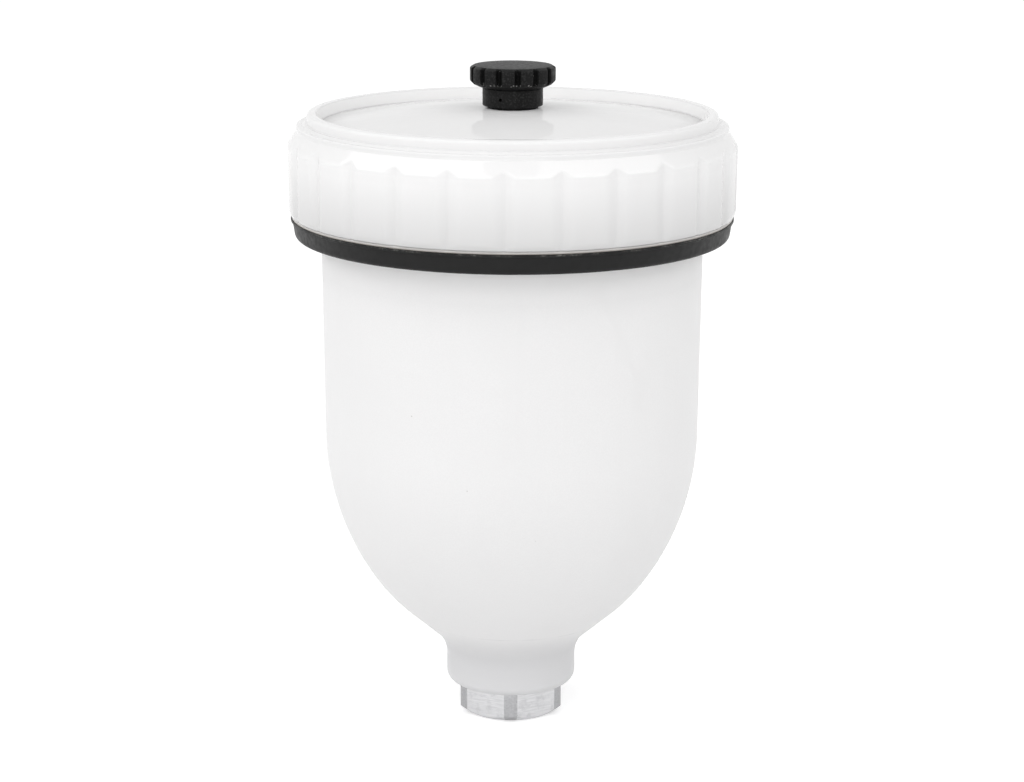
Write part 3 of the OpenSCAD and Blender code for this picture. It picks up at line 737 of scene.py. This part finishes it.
def fitting():
    """Hexagon with turned corners, the threaded bore, and the shank that the neck is moulded round."""
    per_side = 24
    columns = 6 * per_side
    angles = even_angles(columns) - math.pi / 2
    phase = (np.arange(columns) % per_side) / per_side * FULL_TURN / 6
    from_flat = phase - FULL_TURN / 12
    hexagon_r = HEX_AF / 2 / np.cos(from_flat)
    hexagon_r = soft_min(hexagon_r, np.full(columns, HEX_CORNER_R), 0.04)
    chamfer_r = HEX_CORNER_R - HEX_CHAMFER_W
    slope = HEX_CHAMFER_W / HEX_CHAMFER_H
    edge_z = (hexagon_r - chamfer_r) / slope

    def side(z):
        """Ring of the outside at the heights z, with the edge above the chamfer just broken."""
        cone_r = chamfer_r + slope * np.broadcast_to(z, angles.shape)
        return ring(angles, soft_min(hexagon_r, cone_r, 0.05), z)

    rings = [ring(angles, THREAD_CORE_R + THREAD_ENTRY, 0.0), ring(angles, chamfer_r - 0.08, 0.0)]
    rings += [side(0.06)] + [side(0.06 + (edge_z - 0.06) * share) for share in (0.4, 0.8, 0.94, 1.0)]
    rings += [side(edge_z + 0.05), side(edge_z + 0.15)]
    rings += [side(z) for z in (3.0, 4.5, 6.0, NECK_Z - 0.2)]
    rings += [ring(angles, hexagon_r - 0.06, NECK_Z - 0.06), ring(angles, hexagon_r - 0.2, NECK_Z)]
    groove_r = FITTING_SHANK_R - GRIP_GROOVE_DEPTH
    # The shank's two grooves grip the plastic of the neck
    shank = [(FITTING_SHANK_R, NECK_Z)]
    for height in GRIP_GROOVE_HEIGHTS:
        low_z = NECK_Z + height
        high_z = low_z + GRIP_GROOVE_H
        shank += [(FITTING_SHANK_R, low_z), (groove_r, low_z), (groove_r, high_z)]
        shank.append((FITTING_SHANK_R, high_z))
    shank += eased(
        [shank[-1], (FITTING_SHANK_R, FLOOR_Z, 0.1), (OUTLET_R + OUTLET_FLARE, FLOOR_Z, 0.2),
         (OUTLET_R, FLOOR_Z - OUTLET_FLARE, 0.2), (OUTLET_R, THREAD_LENGTH + WASHER_T),
         (WASHER_SEAT_R, THREAD_LENGTH + WASHER_T), (WASHER_SEAT_R, THREAD_LENGTH)], closed=False)[1:]
    rings += [ring(angles, r, z) for r, z in shank]
    # The thread is a wave that winds down the bore, faded at both ends and cut by the cone of its entry
    for z in np.arange(THREAD_LENGTH - 0.02, THREAD_ENTRY * 0.4, -0.1):
        wave = np.abs(((z / THREAD_PITCH - angles / FULL_TURN) % 1) * 2 - 1)
        depth = np.clip(wave * 1.35 - 0.15, 0, 1) * THREAD_DEPTH
        fade = min(1.0, (z - 0.3) / 0.5, (THREAD_LENGTH - z) / 0.6 + 0.02)
        mouth_r = THREAD_CORE_R + THREAD_ENTRY - z
        rings.append(ring(angles, np.maximum(THREAD_CORE_R + depth * max(0.0, fade), mouth_r), z))
    return ring_object("outlet_nut", rings, closed=True, sharp=28.0)


dress(fitting(), "cup", "aluminium", "outlet_fitting")


# Strainer's mesh sleeve: a net of thin wires

def wire_sleeve():
    """Open sleeve whose edges are turned into wires."""
    round_count, level_count = 44, 27
    heights = np.linspace(MESH_Z + 0.2, MESH_TOP_Z - 0.2, level_count)
    section = [(MESH_R - MESH_T / 2, z) for z in heights]
    sleeve = ring_object("strainer_net", turned(section, round_count), closed=False)
    wires = sleeve.modifiers.new("wires", "WIREFRAME")
    wires.thickness = WIRE_T * MM
    wires.use_even_offset = False
    wires.use_boundary = True
    return sleeve


dress(wire_sleeve(), "strainer", "mesh", "strainer_mesh")

# CAD nodes whose shape is right keep it and get their finish
KEPT_NODES = {"strainer_frame": "strainer_plastic", "fitting_washer": "nylon", "lid_gasket": "nylon",
              "vent_nut": "black_plastic", "vent_seal": "black_rubber"}
for node, slot in KEPT_NODES.items():
    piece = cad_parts[node]
    piece.data.materials.clear()
    piece.data.materials.append(FINISH[slot])


# Stage, light and camera. The glow and the world's light together make the far floor white.

FLOOR_GLOW, FLOOR_TONE, FLOOR_SIZE = 0.385, 0.82, 24.0
WORLD_LIGHT = 0.75
SENSOR_WIDTH, PHOTO_WIDTH_PX, FOCAL_LENGTH_PX = 36.0, 1024, 2600
CAMERA_PITCH, CAMERA_ROLL, CAMERA_PLACE = 13.77, 0.2, (0.00007, -0.6296, 0.2370)
LAMP_AIM = (0, 0, 0.10)


def seen_or_mirrored(nodes, links):
    """Socket that is 1 for what the camera sees, mirrored or through glass too, and 0 for light."""
    path = nodes.new("ShaderNodeLightPath")
    socket = path.outputs["Is Camera Ray"]
    for other in ("Is Glossy Ray", "Is Transmission Ray"):
        both = nodes.new("ShaderNodeMath")
        both.operation = "MAXIMUM"
        links.new(socket, both.inputs[0])
        links.new(path.outputs[other], both.inputs[1])
        socket = both.outputs["Value"]
    return socket


def floor_material():
    """Pale floor that keeps the object's shadow, looks white to the camera, and is clear from below."""
    made = bpy.data.materials.new("floor")
    made.use_nodes = True
    nodes, links = made.node_tree.nodes, made.node_tree.links
    nodes.clear()
    diffuse = nodes.new("ShaderNodeBsdfDiffuse")
    diffuse.inputs["Color"].default_value = (FLOOR_TONE, FLOOR_TONE, FLOOR_TONE, 1)
    glow = nodes.new("ShaderNodeEmission")
    level = nodes.new("ShaderNodeMath")
    level.operation = "MULTIPLY"
    level.inputs[1].default_value = FLOOR_GLOW
    links.new(seen_or_mirrored(nodes, links), level.inputs[0])
    links.new(level.outputs["Value"], glow.inputs["Strength"])
    both = nodes.new("ShaderNodeAddShader")
    links.new(diffuse.outputs["BSDF"], both.inputs[0])
    links.new(glow.outputs["Emission"], both.inputs[1])
    clear = nodes.new("ShaderNodeBsdfTransparent")
    facing = nodes.new("ShaderNodeNewGeometry")
    mix = nodes.new("ShaderNodeMixShader")
    links.new(facing.outputs["Backfacing"], mix.inputs["Fac"])
    links.new(both.outputs["Shader"], mix.inputs[1])
    links.new(clear.outputs["BSDF"], mix.inputs[2])
    output = nodes.new("ShaderNodeOutputMaterial")
    links.new(mix.outputs["Shader"], output.inputs["Surface"])
    return made


half = FLOOR_SIZE / 2
floor_corners = [(-half, -half, 0), (half, -half, 0), (half, half, 0), (-half, half, 0)]
floor_mesh = bpy.data.meshes.new("floor")
floor_mesh.from_pydata(floor_corners, [], [(0, 1, 2, 3)])
floor = bpy.data.objects.new("floor", floor_mesh)
floor.data.materials.append(floor_material())
bpy.context.scene.collection.objects.link(floor)

world = bpy.data.worlds.new("studio")
bpy.context.scene.world = world
world.use_nodes = True
nodes, links = world.node_tree.nodes, world.node_tree.links
background = nodes["Background"]
level = nodes.new("ShaderNodeMapRange")
level.inputs["To Min"].default_value = WORLD_LIGHT
level.inputs["To Max"].default_value = 1.0
links.new(seen_or_mirrored(nodes, links), level.inputs["Value"])
links.new(level.outputs["Result"], background.inputs["Strength"])
background.inputs["Color"].default_value = (1, 1, 1, 1)


def softbox(name, azimuth, elevation, distance, width, height, power):
    """Area light aimed at the cup. Azimuth 0 is the camera's side, and positive is to the right."""
    a, e = math.radians(azimuth), math.radians(elevation)
    direction = Vector((math.sin(a) * math.cos(e), -math.cos(a) * math.cos(e), math.sin(e)))
    data = bpy.data.lights.new(name, "AREA")
    data.shape = "RECTANGLE"
    data.size, data.size_y = width, height
    data.energy = power
    lamp = bpy.data.objects.new(name, data)
    lamp.location = Vector(LAMP_AIM) + direction * distance
    lamp.rotation_euler = direction.to_track_quat("Z", "Y").to_euler()
    bpy.context.scene.collection.objects.link(lamp)


softbox("softbox_left", azimuth=-58, elevation=44, distance=1.3, width=1.9, height=0.7, power=6.4)
softbox("softbox_right", azimuth=54, elevation=44, distance=1.3, width=1.55, height=0.7, power=4.2)
softbox("front_fill", azimuth=-10, elevation=4, distance=1.6, width=1.6, height=1.0, power=4.0)

camera_data = bpy.data.cameras.new("camera")
camera_data.sensor_width = SENSOR_WIDTH
camera_data.lens = FOCAL_LENGTH_PX / PHOTO_WIDTH_PX * SENSOR_WIDTH
camera = bpy.data.objects.new("camera", camera_data)
pitched = Matrix.Rotation(math.radians(90 - CAMERA_PITCH), 3, "X")
rolled = Matrix.Rotation(math.radians(CAMERA_ROLL), 3, "Z")
camera.rotation_mode = "QUATERNION"
camera.rotation_quaternion = (pitched @ rolled).to_quaternion()
camera.location = CAMERA_PLACE
bpy.context.scene.collection.objects.link(camera)
bpy.context.scene.camera = camera
bpy.context.scene.view_settings.view_transform = "Standard"
